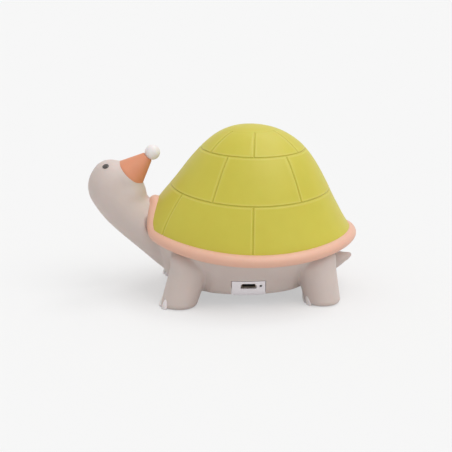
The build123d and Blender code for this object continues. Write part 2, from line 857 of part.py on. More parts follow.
# Lamp board, lamps and their screws
lamp_board_top = cover_top + lamp_board_thickness
with BuildPart() as lamp_board:
    with BuildSketch(Plane((module_x, 0, cover_top))):
        Circle(lamp_board_radius)
        with Locations(*[(x - module_x, y) for x, y in lamp_screw_places]):
            Circle(screw_radius + snug_gap, mode=Mode.SUBTRACT)
    extrude(amount=lamp_board_thickness)
finish_piece(lamp_board.part, "lamp_board")

with BuildPart() as lamp_chips:
    with BuildSketch(Plane((module_x, 0, lamp_board_top))):
        with PolarLocations(lamp_circle_radius, lamp_count):
            Rectangle(lamp_length, lamp_width)
    extrude(amount=lamp_thickness)
finish_piece(lamp_chips.part, "lamp_chips")

with BuildPart() as lamp_screws:
    add(screw_group(lamp_screw_places, lamp_board_top, lamp_screw_length))
finish_piece(lamp_screws.part, "lamp_screws")

# Diffuser: a frosted cap that stands on the cover inside its ring
def cap_arc(radius, low, high):
    """Return three points of the arc from a cap's edge up to its middle."""
    bow = (radius**2 + (high - low) ** 2) / (2 * (high - low))
    half_turn = math.asin(radius / bow) / 2
    return [(radius, low), (bow * math.sin(half_turn), high - bow + bow * math.cos(half_turn)), (0, high)]


with BuildPart() as light_diffuser:
    inner_radius = diffuser_radius - diffuser_wall
    inner_height = diffuser_height - diffuser_wall
    with BuildSketch(Plane((module_x, 0, cover_top), x_dir=(1, 0, 0), z_dir=(0, -1, 0))):
        with BuildLine():
            ThreePointArc(*cap_arc(diffuser_radius, diffuser_skirt, diffuser_height))
            Line((0, diffuser_height), (0, inner_height))
            ThreePointArc(*cap_arc(inner_radius, diffuser_skirt, inner_height))
            Polyline(
                (inner_radius, diffuser_skirt),
                (inner_radius, 0),
                (diffuser_radius, 0),
                (diffuser_radius, diffuser_skirt),
            )
        make_face()
    revolve(axis=Axis((module_x, 0, 0), (0, 0, 1)))
finish_piece(light_diffuser.part, "light_diffuser")

# Leads: two from the cell to the board, two from the board to the lamp board
cell_end = cell_x + cell_length / 2
cell_mid = cell_high - cell_thickness / 2
lamp_mid = cover_top + lamp_board_thickness / 2
lead_routes = {
    "battery_leads": [
        (cell_end, cell_mid),
        (cell_end + lead_standoff, cell_mid),
        (cell_end + lead_standoff, board_top),
    ],
    "lamp_leads": [
        (lamp_lead_x, board_top),
        (lamp_lead_x, lamp_mid),
        (module_x - lamp_board_radius - fit_gap, lamp_mid),
    ],
}
for name, route in lead_routes.items():
    with BuildPart() as leads:
        for side in (-1, 1):
            points = [(x, side * lead_spacing / 2, height) for x, height in route]
            with BuildLine() as path:
                FilletPolyline(*points, radius=lead_bend)
            with BuildSketch(Plane(path.wire() @ 0, z_dir=path.wire() % 0)):
                Circle(lead_radius)
            sweep(path=path.wire())
    finish_piece(leads.part, name)
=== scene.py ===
"""Turtle night light: looks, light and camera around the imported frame.

The frame is in metres, the turtle faces -X and stands on z = 0. Sizes of pieces below are in millimetres.
"""
from __future__ import annotations

import json
import logging
import math
from dataclasses import dataclass
from enum import Enum
from typing import Any, Callable

import bmesh
import bpy
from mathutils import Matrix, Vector

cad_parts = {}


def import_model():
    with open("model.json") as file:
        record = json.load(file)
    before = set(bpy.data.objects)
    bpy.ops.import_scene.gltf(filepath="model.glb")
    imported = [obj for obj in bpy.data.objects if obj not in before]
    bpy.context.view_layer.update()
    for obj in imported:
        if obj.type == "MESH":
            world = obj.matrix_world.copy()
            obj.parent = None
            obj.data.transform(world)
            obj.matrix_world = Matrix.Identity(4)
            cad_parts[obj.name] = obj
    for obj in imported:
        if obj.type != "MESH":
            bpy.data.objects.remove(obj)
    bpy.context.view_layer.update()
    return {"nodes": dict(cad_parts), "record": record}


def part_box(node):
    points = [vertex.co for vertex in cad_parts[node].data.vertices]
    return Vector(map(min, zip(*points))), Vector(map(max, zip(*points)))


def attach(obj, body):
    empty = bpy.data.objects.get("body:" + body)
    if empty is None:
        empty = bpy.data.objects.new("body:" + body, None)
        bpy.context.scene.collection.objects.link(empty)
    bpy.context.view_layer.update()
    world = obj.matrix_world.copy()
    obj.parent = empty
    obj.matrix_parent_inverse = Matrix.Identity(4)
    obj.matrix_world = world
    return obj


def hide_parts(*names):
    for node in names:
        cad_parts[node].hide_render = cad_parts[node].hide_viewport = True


LOG = logging.getLogger("turtle")
MM = 0.001
PHOTO_PIXELS = 452
# Middle of the charging port in the panel's plane
PORT_X = 13.6
PORT_Z = 12.3
# How far a finish's gloss wanders, and how strongly its fine relief shows
GLOSS_SPREAD = 0.05
RELIEF_STRENGTH = 0.35

Pair = tuple[float, float]
Triple = tuple[float, float, float]
Faces = list[tuple[int, ...]]
Tree = bpy.types.NodeTree
Socket = bpy.types.NodeSocket
Piece = bpy.types.Object
Nodes = dict[str, Piece]


class Body(Enum):
    """Bodies of the frame that carry pieces made here."""

    ROOT = "root"


class Grain(Enum):
    """How a surface was made, which sets the direction of its pattern."""

    EVEN = (1.0, 1.0, 1.0)
    ROLLED = (1.0, 14.0, 14.0)


class Cut(Enum):
    """What a block does to the piece that it is set into."""

    REMOVE = "DIFFERENCE"
    KEEP = "INTERSECT"


def linear(hex_colour: str) -> tuple[float, float, float, float]:
    """Turn an sRGB hex value into a linear colour.

    Args:
        hex_colour: Six hex digits after a hash sign.

    Returns:
        Red, green, blue and an alpha of 1.
    """
    shares = [int(hex_colour[i : i + 2], 16) / 255 for i in (1, 3, 5)]
    red, green, blue = [s / 12.92 if s <= 0.04045 else ((s + 0.055) / 1.055) ** 2.4 for s in shares]
    return red, green, blue, 1.0


def add_node(tree: Tree, kind: str, inputs: dict[Any, Any], **settings: Any) -> bpy.types.Node:
    """Add a node with its settings, input values and links.

    Args:
        tree: Node tree that gets the node.
        kind: Blender's name of the node type, without the ShaderNode before it.
        inputs: Values, or sockets to link, by input name or index.
        **settings: Attributes set on the node first.

    Returns:
        The new node.
    """
    node = tree.nodes.new("ShaderNode" + kind)
    for key, value in settings.items():
        setattr(node, key, value)
    for key, value in inputs.items():
        if isinstance(value, Socket):
            tree.links.new(value, node.inputs[key])
        else:
            node.inputs[key].default_value = value
    return node


def seen_rays(tree: Tree) -> Socket:
    """Tell the rays that show a background from those that light the object.

    Args:
        tree: Node tree of a stage material or of the world.

    Returns:
        A value of 1 for camera, glossy and transmission rays.
    """
    path = add_node(tree, "LightPath", {}).outputs
    seen = path["Is Camera Ray"]
    for kind in ("Is Glossy Ray", "Is Transmission Ray"):
        seen = add_node(tree, "Math", {0: seen, 1: path[kind]}, operation="MAXIMUM").outputs["Value"]
    return seen


def placed(name: str, data: bpy.types.ID) -> Piece:
    """Put a mesh, lamp or camera into the scene.

    Args:
        name: Name of the object.
        data: What the object shows.

    Returns:
        The linked object.
    """
    piece = bpy.data.objects.new(name, data)
    bpy.context.scene.collection.objects.link(piece)
    return piece


def smooth_object(name: str, points: list[Vector], faces: Faces) -> Piece:
    """Make a smooth-shaded mesh object from points in millimetres.

    Args:
        name: Name of the piece.
        points: Corner points in millimetres.
        faces: Corner indices of each face.

    Returns:
        The linked object.
    """
    mesh = bpy.data.meshes.new(name)
    mesh.from_pydata([p * MM for p in points], [], faces)
    mesh.shade_smooth()
    return placed(name, mesh)


def smooth_share(low: float, high: float, value: float) -> float:
    """Return a soft step from 0 at low to 1 at high, which may lie below low."""
    share = min(max((value - low) / (high - low), 0.0), 1.0)
    return share * share * (3 - 2 * share)


def spaced(first: float, last: float, steps: int) -> list[float]:
    """Return the even values from first to last, both among them."""
    return [first + (last - first) * i / steps for i in range(steps + 1)]


def ring(centre: Vector, across: Vector, up: Vector, corners: int = 48) -> list[Vector]:
    """Return points round an oval, given its middle and half of each axis."""
    turns = spaced(0.0, 2 * math.pi, corners)[:-1]
    return [centre + across * math.cos(a) + up * math.sin(a) for a in turns]


def band(count: int, first: int, second: int) -> Faces:
    """Return the quads between two rings of count points, given the index that each starts at."""
    return [(first + j, first + (j + 1) % count, second + (j + 1) % count, second + j) for j in range(count)]


def stacked(rings: list[list[Vector]]) -> tuple[list[Vector], Faces]:
    """Join rings of equal count into a closed skin.

    Args:
        rings: Rings from one end to the other.

    Returns:
        Points and faces.
    """
    count = len(rings[0])
    last = (len(rings) - 1) * count
    faces: Faces = [tuple(reversed(range(count)))]
    for start in range(0, last, count):
        faces += band(count, start, start + count)
    faces.append(tuple(range(last, last + count)))
    return [point for loop in rings for point in loop], faces


def egg(centre: Vector, radii: Vector, steps: int = 20) -> list[list[Vector]]:
    """Return the rings of an egg-shaped form that stands upright.

    Args:
        centre: Its middle.
        radii: Half its length, width and height.
        steps: Number of rings.

    Returns:
        Rings from the bottom up.
    """
    rings = []
    for i in range(steps):
        lift = math.pi * (i + 0.5) / steps - math.pi / 2
        middle = centre + Vector((0.0, 0.0, radii.z * math.sin(lift)))
        wide = math.cos(lift)
        rings.append(ring(middle, Vector((radii.x * wide, 0, 0)), Vector((0, radii.y * wide, 0))))
    return rings


def rectangle(half_width: float, low: float, high: float) -> list[Pair]:
    """Return the corners of a rectangle about the port's middle line, as x and height."""
    left, right = PORT_X - half_width, PORT_X + half_width
    return [(left, low), (right, low), (right, high), (left, high)]


def prism(name: str, outline: list[Pair], reach: Pair) -> Piece:
    """Draw an outline in the panel's plane out across the turtle.

    Args:
        name: Name of the object.
        outline: Corners as x and height.
        reach: Outer and inner end.

    Returns:
        The prism's object.
    """
    # Faces look outwards only where the outline runs clockwise, seen from the panel's side
    turn = sum(a[0] * b[1] - b[0] * a[1] for a, b in zip(outline, outline[1:] + outline[:1]))
    corners = outline[::-1] if turn > 0 else outline
    return smooth_object(name, *stacked([[Vector((x, y, z)) for x, z in corners] for y in reach]))


def evaluated_mesh(piece: Piece) -> bpy.types.Mesh:
    """Return a new mesh of an object with its modifiers applied."""
    graph = bpy.context.evaluated_depsgraph_get()
    return bpy.data.meshes.new_from_object(piece.evaluated_get(graph))


def mesh_of(name: str, forms: bmesh.types.BMesh) -> bpy.types.Mesh:
    """Turn worked forms into a mesh, and let the forms go.

    Args:
        name: Name of the mesh.
        forms: Forms to keep.

    Returns:
        The new mesh.
    """
    mesh = bpy.data.meshes.new(name)
    forms.to_mesh(mesh)
    forms.free()
    return mesh


def cut_by(piece: Piece, block: Piece, cut: Cut) -> None:
    """Cut a piece with a block, through a modifier.

    Args:
        piece: Piece to cut.
        block: Closed block, which has to stay until the piece's mesh is made.
        cut: What the block does.
    """
    change = piece.modifiers.new(block.name, "BOOLEAN")
    change.operation = cut.value
    change.object = block


def discard(pieces: list[Piece]) -> None:
    """Remove the helpers that a piece was made with."""
    for used in pieces:
        bpy.data.objects.remove(used)


@dataclass(frozen=True)
class Finish:
    """A finish with faint mottling, an uneven gloss and a fine relief.

    Pattern sizes are in millimetres. Subclasses set the shader values that a finish of their kind has.
    """

    name: str
    colour: str
    shade: str
    roughness: float
    mottle_mm: float = 9.0
    grain_mm: float = 0.4
    relief_mm: float = 0.01
    grain: Grain = Grain.EVEN

    def constants(self) -> dict[str, Any]:
        """Return the shader values that are the same all over the surface."""
        return {}

    def tint(self, tree: Tree, colour: Socket) -> Socket:
        """Return the colour as it is, for subclasses to change."""
        return colour

    def surface(self, tree: Tree, shader: Socket) -> Socket:
        """Return the shader as it is, for subclasses to mix with another."""
        return shader

    def material(self) -> bpy.types.Material:
        """Build the material.

        Returns:
            A node material with colour, roughness and relief from patterns.
        """
        made = bpy.data.materials.new(self.name)
        made.use_nodes = True
        tree = made.node_tree
        tree.nodes.clear()
        place = add_node(tree, "TexCoord", {}).outputs["Object"]
        run = add_node(tree, "Mapping", {"Vector": place, "Scale": self.grain.value}).outputs["Vector"]
        mottle, grain = [
            add_node(
                tree, "TexNoise", {"Vector": way, "Scale": 1 / (size * MM), "Detail": detail}
            ).outputs["Fac"]
            for way, size, detail in ((place, self.mottle_mm, 3.0), (run, self.grain_mm, 2.0))
        ]
        shades = {0: mottle, 6: linear(self.shade), 7: linear(self.colour)}
        colour = add_node(tree, "Mix", shades, data_type="RGBA").outputs[2]
        low, high = self.roughness - GLOSS_SPREAD, self.roughness + GLOSS_SPREAD
        gloss = add_node(tree, "MapRange", {"Value": grain, "To Min": low, "To Max": high}).outputs["Result"]
        stipple = {"Height": grain, "Strength": RELIEF_STRENGTH, "Distance": self.relief_mm * MM}
        relief = add_node(tree, "Bump", stipple).outputs["Normal"]
        looks = {"Base Color": self.tint(tree, colour), "Roughness": gloss, "Normal": relief}
        shader = add_node(tree, "BsdfPrincipled", {**looks, **self.constants()}).outputs["BSDF"]
        add_node(tree, "OutputMaterial", {"Surface": self.surface(tree, shader)})
        return made


@dataclass(frozen=True)
class SoftVinyl(Finish):
    """Cast PVC vinyl with a matte sprayed colour: even and soft, with light that seeps a little way in."""

    seep_mm: float = 0.8

    def constants(self) -> dict[str, Any]:
        """Return vinyl's index and its shallow seep of light."""
        seep = {"Subsurface Weight": 0.12, "Subsurface Scale": self.seep_mm * MM}
        return {"IOR": 1.53, "Specular IOR Level": 0.4, **seep}


@dataclass(frozen=True)
class ScuteVinyl(SoftVinyl):
    """Translucent cast vinyl of the dome, with painted shade in the grooves between the scutes and a painted
    highlight on the lips beside them.
    """

    # Colour of the painted shade in the grooves, and of the painted highlight on the lips beside them, with the
    # strength of each
    groove: str = "#968C2E"
    lip: str = "#DED680"
    groove_shade_strength: float = 0.32
    lip_highlight_strength: float = 0.45
    lip_mark: float = -0.25

    def tint(self, tree: Tree, colour: Socket) -> Socket:
        """Paint shade into the grooves that the mesh marks, and paint a highlight onto the lips beside them.

        Args:
            tree: Node tree of the material.
            colour: Colour of the scutes.

        Returns:
            The colour with its grooves.
        """
        mark = add_node(tree, "Attribute", {}, attribute_name="groove").outputs["Fac"]
        # Painted shade where the mark is above zero, and a painted highlight on the lips where it falls below
        # zero
        cut = {"Value": mark, "To Max": self.groove_shade_strength}
        lip_highlight = {"Value": mark, "From Max": self.lip_mark, "To Max": self.lip_highlight_strength}
        for place, shade in ((cut, self.groove), (lip_highlight, self.lip)):
            share = add_node(tree, "MapRange", place).outputs["Result"]
            shades = {0: share, 6: colour, 7: linear(shade)}
            colour = add_node(tree, "Mix", shades, data_type="RGBA").outputs[2]
        return colour


@dataclass(frozen=True)
class GlossBead(Finish):
    """Lacquered bead: nearly black, with one clear highlight."""

    def constants(self) -> dict[str, Any]:
        """Return the lacquer's index and coat."""
        return {"IOR": 1.5, "Coat Weight": 1.0, "Coat Roughness": 0.08}


@dataclass(frozen=True)
class MouldedPlastic(Finish):
    """Injection-moulded ABS or nylon with a spark-eroded skin: dry and even, with a broad dull sheen."""

    def constants(self) -> dict[str, Any]:
        """Return the plastic's index."""
        return {"IOR": 1.52}


@dataclass(frozen=True)
class PlainMetal(Finish):
    """Stamped, plated or rolled metal: it mirrors the room, blurred along the rolling marks."""

    def constants(self) -> dict[str, Any]:
        """Return a full metal."""
        return {"Metallic": 1.0}


@dataclass(frozen=True)
class Acrylic(Finish):
    """Moulded acrylic: clear or frosted, so that what lies behind it shows through softly."""

    clear: float = 0.9

    def constants(self) -> dict[str, Any]:
        """Return acrylic's index and its clearness."""
        return {"IOR": 1.49, "Transmission Weight": self.clear}


@dataclass(frozen=True)
class StudioPaper(Finish):
    """Matt paper whose shadow the room's fill light thins out where the camera looks."""

    fill: float = 0.5
    fill_colour: str = "#F7F7F7"

    def surface(self, tree: Tree, shader: Socket) -> Socket:
        """Mix the lit paper with its own plain shade for what the camera, metal and glass see.

        Args:
            tree: Node tree of the material.
            shader: The lit paper.

        Returns:
            The mixed shader.
        """
        glow = add_node(tree, "Emission", {"Color": linear(self.fill_colour)}).outputs["Emission"]
        fills = {0: seen_rays(tree), 1: self.fill}
        share = add_node(tree, "Math", fills, operation="MULTIPLY").outputs["Value"]
        return add_node(tree, "MixShader", {0: share, 1: shader, 2: glow}).outputs["Shader"]


class Wardrobe:
    """Finishes of the record's material slots, each built once."""

    # The stipple of sprayed vinyl and of spark-eroded moulds is 0.1 to 0.2 mm across, too fine to show at
    # this distance, so each is drawn at 0.2 to 0.4 mm.
    FINISHES: dict[str, Finish] = {
        # Rotocast PVC under a matt spray: an even warm grey whose light falls off softly round the limbs
        "body_vinyl": SoftVinyl("warm_grey_cast_vinyl", "#CFC1BA", "#C8B9B2", 0.52),
        # The same vinyl in peach, wiped a little smoother: a broad soft sheen along the top of the bead
        "rim_vinyl": SoftVinyl("peach_cast_vinyl", "#E0B29C", "#DBAB94", 0.46),
        # Thin translucent vinyl over the lamp: light seeps further in, the scutes have a satin sheen, and the
        # grooves carry painted shade with a painted highlight on their lips
        "dome_vinyl": ScuteVinyl("olive_cast_vinyl", "#C9BE45", "#C2B73E", 0.44, seep_mm=1.6),
        # Terracotta vinyl, matt and even, a little deeper in the mottling
        "hat_vinyl": SoftVinyl("terracotta_cast_vinyl", "#D89270", "#D28A67", 0.52),
        # Unpainted white vinyl: soft shades and no hard edge to them
        "white_vinyl": SoftVinyl("white_cast_vinyl", "#E9E3E2", "#E3DCDA", 0.5),
        # Lacquered nylon bead: dark brown, with one clear highlight
        "eye_black": GlossBead(
            "brown_lacquer_bead", "#33261F", "#271C17", 0.22, grain_mm=0.3, relief_mm=0.002
        ),
        # Moulded ABS with a spark-eroded skin: a cool white with a dull sheen
        "white_abs": MouldedPlastic("white_moulded_abs", "#F3EFF2", "#EEE9ED", 0.45, grain_mm=0.25),
        # Stamped and tinned steel: a warm grey that mirrors the panel, drawn out along the rolling marks
        "socket_steel": PlainMetal("stamped_socket_steel", "#B5A698", "#A39486", 0.32, grain=Grain.ROLLED),
        # Glass-filled nylon: black with a faint grey bloom
        "black_plastic": MouldedPlastic("black_moulded_nylon", "#1C1B1B", "#141313", 0.5, grain_mm=0.2),
        # Clear acrylic: dark where the hole behind it is dark, with a small glint
        "clear_acrylic": Acrylic("clear_moulded_acrylic", "#F2F4F4", "#EAEEEE", 0.12),
        # Acrylic frosted in the mould: a milky white that blurs the lamps
        "frosted_acrylic": Acrylic("frosted_moulded_acrylic", "#F4F4F0", "#EFEFEA", 0.5, clear=0.4),
        # Solder mask over glass cloth: green, with the weave as a faint mottle
        "green_board": MouldedPlastic("green_solder_mask", "#1E6B3C", "#185A32", 0.35, mottle_mm=2.0),
        # White solder mask: the same weave, paler
        "white_board": MouldedPlastic("white_solder_mask", "#EDEDEA", "#E3E3DF", 0.35, mottle_mm=2.0),
        # Phosphor gel of unlit lamps: waxy yellow
        "lamp_phosphor": MouldedPlastic("yellow_lamp_phosphor", "#F0D667", "#E8C850", 0.4, mottle_mm=0.8),
        # Crimped aluminium laminate: dull silver with shallow wrinkles
        "cell_foil": PlainMetal(
            "crimped_cell_foil", "#C3C6CA", "#B4B8BD", 0.38, mottle_mm=3.0, relief_mm=0.04
        ),
        # Closed-cell foam tape: dead matt, with open cells at its cut sides
        "foam_tape": MouldedPlastic(
            "white_foam_tape", "#E2E1DC", "#D3D2CC", 0.85, grain_mm=0.3, relief_mm=0.06
        ),
        # Zinc-plated steel: bright grey, a little cloudy
        "screw_steel": PlainMetal("zinc_plated_steel", "#B5B5B3", "#A3A3A1", 0.35, mottle_mm=1.5),
        # Extruded PVC sleeve: red, with a waxy sheen along the lead
        "lead_sleeve": MouldedPlastic("red_lead_sleeve", "#A3231B", "#8E1C16", 0.42, grain_mm=0.3),
    }

    def __init__(self) -> None:
        """Build no material until one is asked for."""
        self._made: dict[str, bpy.types.Material] = {}

    def dress(self, piece: Piece, slot: str) -> None:
        """Give a piece the finish of a slot.

        Args:
            piece: Object to dress.
            slot: Material slot of the record.
        """
        if slot not in self._made:
            self._made[slot] = self.FINISHES[slot].material()
        piece.data.materials.clear()
        piece.data.materials.append(self._made[slot])


@dataclass
class LengthwiseArc:
    """Circular arc along the shell, seen from the side, through three heights of the shell."""

    front: float
    middle: float
    rear: float
    half: float
    shell_x: float

    def height(self, x: float) -> float:
        """Return the arc's height at x.

        Args:
            x: Place along the shell.

        Returns:
            Height above the floor.
        """
        front_rise = self.front - self.middle
        rear_rise = self.rear - self.middle
        drop = (2 * self.half**2 + front_rise**2 + rear_rise**2) / (2 * (front_rise + rear_rise))
        shift = (2 * drop * front_rise - self.half**2 - front_rise**2) / (2 * self.half)
        return self.middle + drop - math.sqrt(shift**2 + drop**2 - (x - self.shell_x - shift) ** 2)


@dataclass
class ShellRim:
    """The bead round the seam, arched over the neck."""

    shell_x: float = 14.1
    half_length: float = 56.5
    half_width: float = 49.0
    bead_width: float = 8.0
    bead_height: float = 6.4
    seam_heights: Triple = (37.0, 28.6, 33.2)
    arch_rise: float = 12.4
    arch_half_width: float = 19.5
    arch_set_back: float = 3.4
    arch_narrowing: float = 0.15
    stations: int = 240
    corners: int = 28

    def arc(self, heights: Triple) -> LengthwiseArc:
        """Return the line along the shell through heights at its front, middle and rear."""
        return LengthwiseArc(*heights, self.half_length, self.shell_x)

    def centre(self, angle: float) -> Vector:
        """Return the bead's centre line at an angle from the rear end.

        Args:
            angle: Angle in radians.

        Returns:
            Point in millimetres.
        """
        x = self.shell_x + (self.half_length - self.bead_width / 2) * math.cos(angle)
        y = (self.half_width - self.bead_width / 2) * math.sin(angle)
        height = self.arc(self.seam_heights).height(x)
        share = self.arch_share(x, y)
        return Vector((x + self.arch_set_back * share, y, height + self.arch_rise * share))

    def arch_share(self, x: float, y: float) -> float:
        """Return how far up the arch over the neck a place on the bead is.

        Args:
            x: Place along the turtle.
            y: Place across it.

        Returns:
            A share from 0 at the arch's feet to 1 at its top.
        """
        if x > self.shell_x or abs(y) > self.arch_half_width:
            return 0.0
        return (1 - (y / self.arch_half_width) ** 2) ** 2

    def build(self) -> Piece:
        """Sweep the bead's oval section round the seam.

        Returns:
            The rim's object.
        """
        points: list[Vector] = []
        faces: Faces = []
        step = 2 * math.pi / self.stations
        for i in range(self.stations):
            run = self.centre(step * (i + 0.5)) - self.centre(step * (i - 0.5))
            across = Vector((run.y, -run.x, 0)).normalized()
            up = run.normalized().cross(across)
            middle = self.centre(step * i)
            half = self.bead_width / 2 * (1 - self.arch_narrowing * self.arch_share(middle.x, middle.y))
            points += ring(middle, across * half, up * (self.bead_height / 2), self.corners)
            faces += band(self.corners, i * self.corners, (i + 1) % self.stations * self.corners)
        return smooth_object("rim_bead", points, faces)


@dataclass
class ShellDome:
    """The bell of the shell, with soft grooves between its scutes."""

    rim: ShellRim
    low: float = 27.6
    rise: float = 62.0
    half_length: float = 52.9
    half_width: float = 45.4
    hub: float = 3.3
    hub_share: float = 0.972
    groove_depth: float = 0.42
    groove_half_width: float = 0.36
    groove_edge: float = 0.05
    lip_share: float = 0.16
    lip_place: float = 2.3
    lip_spread: float = 0.9
    tuck: float = 0.5
    wall: float = 2.0
    # Shares of the rise, and of the half length to the front and rear and the half width to the sides
    rows: tuple[tuple[float, float, float, float], ...] = (
        (0.000, 1.090, 1.066, 1.010),
        (0.100, 1.060, 1.020, 0.972),
        (0.200, 1.022, 0.949, 0.926),
        (0.300, 0.955, 0.886, 0.876),
        (0.400, 0.869, 0.826, 0.820),
        (0.500, 0.771, 0.770, 0.757),
        (0.600, 0.680, 0.710, 0.688),
        (0.690, 0.600, 0.649, 0.618),
        (0.770, 0.520, 0.583, 0.544),
        (0.840, 0.440, 0.507, 0.462),
        (0.900, 0.357, 0.414, 0.371),
        (0.950, 0.260, 0.302, 0.263),
        (0.984, 0.150, 0.170, 0.144),
        (0.998, 0.040, 0.040, 0.038),
    )
    # Heights of each level groove at the shell's front, middle and rear
    ring_heights: tuple[Triple, ...] = (
        (61.0, 54.5, 57.5),
        (79.5, 77.0, 78.0),
        (87.6, 87.2, 87.6),
    )
    ring_shares: tuple[float, ...] = (1.0, 1.0, 0.15)
    # Upright grooves of each band from the bottom up, in degrees from the left flank towards the rear
    band_bearings: tuple[tuple[float, ...], ...] = (
        (-2.5, -62, 118, -118, 180),
        (39.5, -35, 90, -90, 145, -145),
        (-3, 61, -60, 120, -120, 180),
    )
    band_rows: tuple[int, ...] = (14, 14, 9, 6)
    half_steps: tuple[float, ...] = (0.18, 0.35, 0.55, 0.8, 1.1, 1.6)
    line_radius: float = 42.0
    least_turn_deg: float = 0.12
    plain_columns: int = 90
    profile_steps: int = 160

    @property
    def ring_steps(self) -> list[float]:
        """Return the mesh's steps across a groove, closest at its middle."""
        return [-step for step in reversed(self.half_steps)] + [0.0, *self.half_steps]

    def reach(self, height: float) -> Triple:
        """Return the bell's front, rear and side reach at a height, on a smooth curve through its rows.

        Args:
            height: Height above the floor.

        Returns:
            Front, rear and side reach.
        """
        share = min(max((height - self.low) / self.rise, 0.0), self.rows[-1][0])
        i = max(k for k in range(len(self.rows) - 1) if self.rows[k][0] <= share or k == 0)
        before, here = self.rows[max(i - 1, 0)], self.rows[i]
        there, after = self.rows[i + 1], self.rows[min(i + 2, len(self.rows) - 1)]
        span = there[0] - here[0]
        t = (share - here[0]) / span
        found = []
        for k in (1, 2, 3):
            leave = (there[k] - before[k]) / (there[0] - before[0]) * span
            arrive = (after[k] - here[k]) / (after[0] - here[0]) * span
            found.append(
                (2 * t**3 - 3 * t**2 + 1) * here[k]
                + (t**3 - 2 * t**2 + t) * leave
                + (3 * t**2 - 2 * t**3) * there[k]
                + (t**3 - t**2) * arrive
            )
        return found[0] * self.half_length, found[1] * self.half_length, found[2] * self.half_width

    def skin(self, angle: float, height: float, inset: float = 0.0) -> Vector:
        """Return the point of the bell's skin at an angle from its rear and a height.

        Args:
            angle: Angle in radians about the line that the upright grooves meet in.
            height: Height above the floor.
            inset: Distance to go in towards the middle.

        Returns:
            Point in millimetres.
        """
        front, rear, side = self.reach(height)
        share = (height - self.low) / self.rise
        fade = (self.rows[-1][0] - share) / (self.rows[-1][0] - self.hub_share)
        hub = self.hub * min(max(fade, 0.0), 1.0)
        half, shift = (front + rear) / 2, (rear - front) / 2 - hub
        c, s = math.cos(angle), math.sin(angle)
        square = (c / half) ** 2 + (s / side) ** 2
        slope = -2 * shift * c / half**2
        rest = (shift / half) ** 2 - 1
        reach = (-slope + math.sqrt(slope**2 - 4 * square * rest)) / (2 * square) - inset
        return Vector((self.rim.shell_x + hub + reach * c, reach * s, height))

    def groove_share(self, off: float) -> float:
        """Return how deep a groove is at a distance from its middle, with a low lip on each side.

        Args:
            off: Distance from the groove's middle.

        Returns:
            Share of the full depth, below zero on the lips.
        """
        across = abs(off) / self.groove_half_width
        lip = math.exp(-(((across - self.lip_place) / self.lip_spread) ** 2))
        return math.exp(-(across**2)) - self.lip_share * lip

    def columns(self) -> list[float]:
        """Return the angles of the mesh's columns, gathered at the grooves.

        Returns:
            Sorted angles in radians.
        """
        angles = {round(360 * i / self.plain_columns, 3) for i in range(self.plain_columns)}
        for bearing in {b for row in self.band_bearings for b in row}:
            for step in self.ring_steps:
                turn = math.degrees(step / self.line_radius)
                angles.add(round((bearing - 90 + turn) % 360, 3))
        kept: list[float] = []
        for angle in sorted(angles):
            if not kept or angle - kept[-1] > self.least_turn_deg:
                kept.append(angle)
        return [math.radians(a) for a in kept]

    def profile(self, angle: float) -> list[Pair]:
        """Return heights up the bell's skin at one angle, with the groove ring's share at each.

        Args:
            angle: Angle in radians.

        Returns:
            Pairs of height and groove share from the rim up to the crown.
        """
        seam_low = self.rim.centre(angle).z - self.tuck
        heights = spaced(seam_low, self.low + self.rise * self.rows[-1][0], self.profile_steps)
        spots = [self.skin(angle, h) for h in heights]
        runs = [0.0]
        for a, b in zip(spots, spots[1:]):
            runs.append(runs[-1] + (b - a).length)
        rings = []
        for trio in self.ring_heights:
            arc = self.rim.arc(trio)
            over = [p.z - arc.height(p.x) for p in spots]
            i = next(k for k in range(1, len(over)) if over[k] >= 0)
            rings.append(runs[i] - (runs[i] - runs[i - 1]) * over[i] / (over[i] - over[i - 1]))
        marks: list[Pair] = []
        start = 0.0
        steps = self.ring_steps
        for middle, count, depth in zip((*rings, runs[-1]), self.band_rows, (*self.ring_shares, 0.0)):
            stop = middle + (steps[0] if depth else 0.0)
            marks += [(start + (stop - start) * i / count, 0.0) for i in range(count)]
            if depth:
                marks += [(middle + step, depth * self.groove_share(step)) for step in steps]
            start = middle + steps[-1] + (stop - start) / count
        marks.append((runs[-1], 0.0))
        found = []
        for run, share in marks:
            i = max(k for k in range(len(runs)) if runs[k] <= run + 1e-9)
            j = min(i + 1, len(runs) - 1)
            part = (run - runs[i]) / (runs[j] - runs[i]) if j > i else 0.0
            found.append((heights[i] + (heights[j] - heights[i]) * part, share))
        return found

    def line_share(self, spot: Vector, angle: float) -> float:
        """Return how deep an upright groove is at a point of the skin.

        Args:
            spot: Point of the skin.
            angle: Its angle in radians.

        Returns:
            Share of the full depth.
        """
        level = sum(spot.z > self.rim.arc(trio).height(spot.x) for trio in self.ring_heights)
        if level >= len(self.band_bearings):
            return 0.0
        reach = math.hypot(spot.x - self.rim.shell_x - self.hub, spot.y)
        nearest = reach
        for bearing in self.band_bearings[level]:
            turn = angle - math.radians(bearing - 90)
            if math.cos(turn) > 0:
                nearest = min(nearest, abs(math.sin(turn)) * reach)
        return self.groove_share(nearest)

    def build(self) -> Piece:
        """Lay the bell's skin over its columns and rows, and give it a wall.

        Returns:
            The dome's object.
        """
        columns = self.columns()
        points: list[Vector] = []
        shares: list[float] = []
        rows = 0
        for angle in columns:
            profile = self.profile(angle)
            rows = len(profile)
            for height, level in profile:
                upright = self.line_share(self.skin(angle, height), angle)
